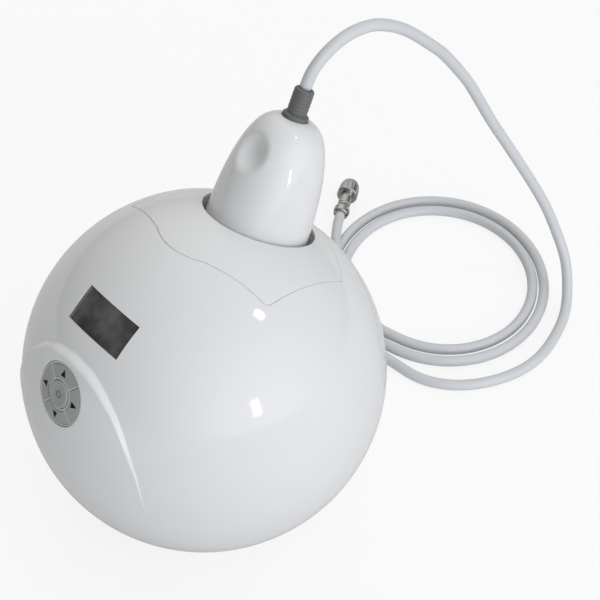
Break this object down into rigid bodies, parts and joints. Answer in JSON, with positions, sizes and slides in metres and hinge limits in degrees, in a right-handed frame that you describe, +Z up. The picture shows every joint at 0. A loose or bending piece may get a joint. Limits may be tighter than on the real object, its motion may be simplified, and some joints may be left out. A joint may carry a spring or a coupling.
{
  "type": "cavitation slimming machine",
  "caption": "Ball-shaped ultrasonic body-care machine with round keypad, display window and a bell-shaped handpiece standing in a tilted socket, on a coiled cord.",
  "frame": {"origin": "on the table, straight below the centre of the ball-shaped housing", "axes": "+Z up, the keypad faces -Y, the socket and the handpiece lean back towards +Y, +X is the user's right"},
  "size_m": [0.2836, 0.4265, 0.2822],
  "materials": {
    "shell_white": "high gloss moulded plastic, white",
    "cup_white": "satin moulded plastic, white",
    "steel": "plain steel",
    "rubber_grey": "matt rubber, dark grey",
    "seal_black": "matt rubber, black",
    "display_smoke": "smoked, polished plastic",
    "display_black": "display glass, dark",
    "board_green": "printed circuit board, green",
    "black_plastic": "satin plastic, black",
    "keypad_light": "silver-white satin gloss",
    "key_grey": "satin plastic, mid grey",
    "contact_brass": "plated brass",
    "nickel": "nickel-plated, bright",
    "plug_metal": "nickel-plated, satin",
    "core_steel": "varnished steel laminations",
    "winding_copper": "enamelled copper wire",
    "aluminium": "machined aluminium",
    "capacitor_blue": "sleeved can, dark blue",
    "ceramic": "ceramic, buff",
    "relief_grey": "satin rubber, grey",
    "cord_white": "smooth sheathed cord, white to light grey"
  },
  "bodies": {
    "base": {"main_shell": "shell_white", "top_cover": "shell_white", "socket_cup": "cup_white", "socket_screws": "steel", "rest_pad": "rubber_grey", "bottom_plate": "cup_white", "rubber_feet": "rubber_grey", "base_screws": "steel", "display_window": "display_smoke", "display_panel": "display_black", "display_board": "board_green", "display_screws": "steel", "keypad_bezel": "keypad_light", "key_board": "board_green", "tact_switches": "black_plastic", "rear_panel": "cup_white", "rear_screws": "steel", "mains_inlet": "black_plastic", "inlet_pins": "contact_brass", "switch_housing": "black_plastic", "handpiece_receptacle": "nickel", "receptacle_insert": "black_plastic", "main_board": "board_green", "board_screws": "steel", "transformer_core": "core_steel", "transformer_coil": "winding_copper", "heat_sink": "aluminium", "capacitor": "capacitor_blue", "cord_run": "cord_white", "cord_coil": "cord_white", "cord_tail": "cord_white", "plug_body": "plug_metal", "plug_insert": "black_plastic", "plug_pins": "contact_brass", "cord_clamp": "plug_metal", "clamp_screws": "steel"},
    "handpiece": {"handpiece_shell": "shell_white", "head_collar": "shell_white", "head_seal": "seal_black", "transducer_head": "aluminium", "piezo_rings": "ceramic", "electrodes": "contact_brass", "back_mass": "steel", "stack_bolt": "steel", "strain_relief": "relief_grey", "cord_lead": "cord_white"},
    "key_up": {"key_up": "key_grey"},
    "key_right": {"key_right": "key_grey"},
    "key_down": {"key_down": "key_grey"},
    "key_left": {"key_left": "key_grey"},
    "power_key": {"power_key": "key_grey"},
    "power_rocker": {"power_rocker": "black_plastic"},
    "coupling_ring": {"coupling_ring": "plug_metal"}
  },
  "joints": [
    {"name": "handpiece_lift", "type": "slide", "parent": "base", "child": "handpiece", "axis": [0, 0.4147, 0.91], "range_m": [0, 0.09]},
    {"name": "key_up_press", "type": "slide", "parent": "base", "child": "key_up", "axis": [-0.0339, 0.9252, -0.3778], "range_m": [0, 0.001], "stiffness_N_per_m": 400, "springref_m": -0.0008},
    {"name": "key_right_press", "type": "slide", "parent": "base", "child": "key_right", "axis": [-0.0339, 0.9252, -0.3778], "range_m": [0, 0.001], "stiffness_N_per_m": 400, "springref_m": -0.0008},
    {"name": "key_down_press", "type": "slide", "parent": "base", "child": "key_down", "axis": [-0.0339, 0.9252, -0.3778], "range_m": [0, 0.001], "stiffness_N_per_m": 400, "springref_m": -0.0008},
    {"name": "key_left_press", "type": "slide", "parent": "base", "child": "key_left", "axis": [-0.0339, 0.9252, -0.3778], "range_m": [0, 0.001], "stiffness_N_per_m": 400, "springref_m": -0.0008},
    {"name": "power_key_press", "type": "slide", "parent": "base", "child": "power_key", "axis": [-0.0339, 0.9252, -0.3778], "range_m": [0, 0.001], "stiffness_N_per_m": 400, "springref_m": -0.0008},
    {"name": "rocker_tip", "type": "hinge", "parent": "base", "child": "power_rocker", "pos_m": [-0.003, 0.083, 0.06105], "axis": [-1, 0, 0], "range_deg": [0, 16]},
    {"name": "ring_turn", "type": "hinge", "parent": "base", "child": "coupling_ring", "pos_m": [-0.151, 0.229, 0.0076], "axis": [-0.622, 0.783, 0], "continuous": true}
  ]
}
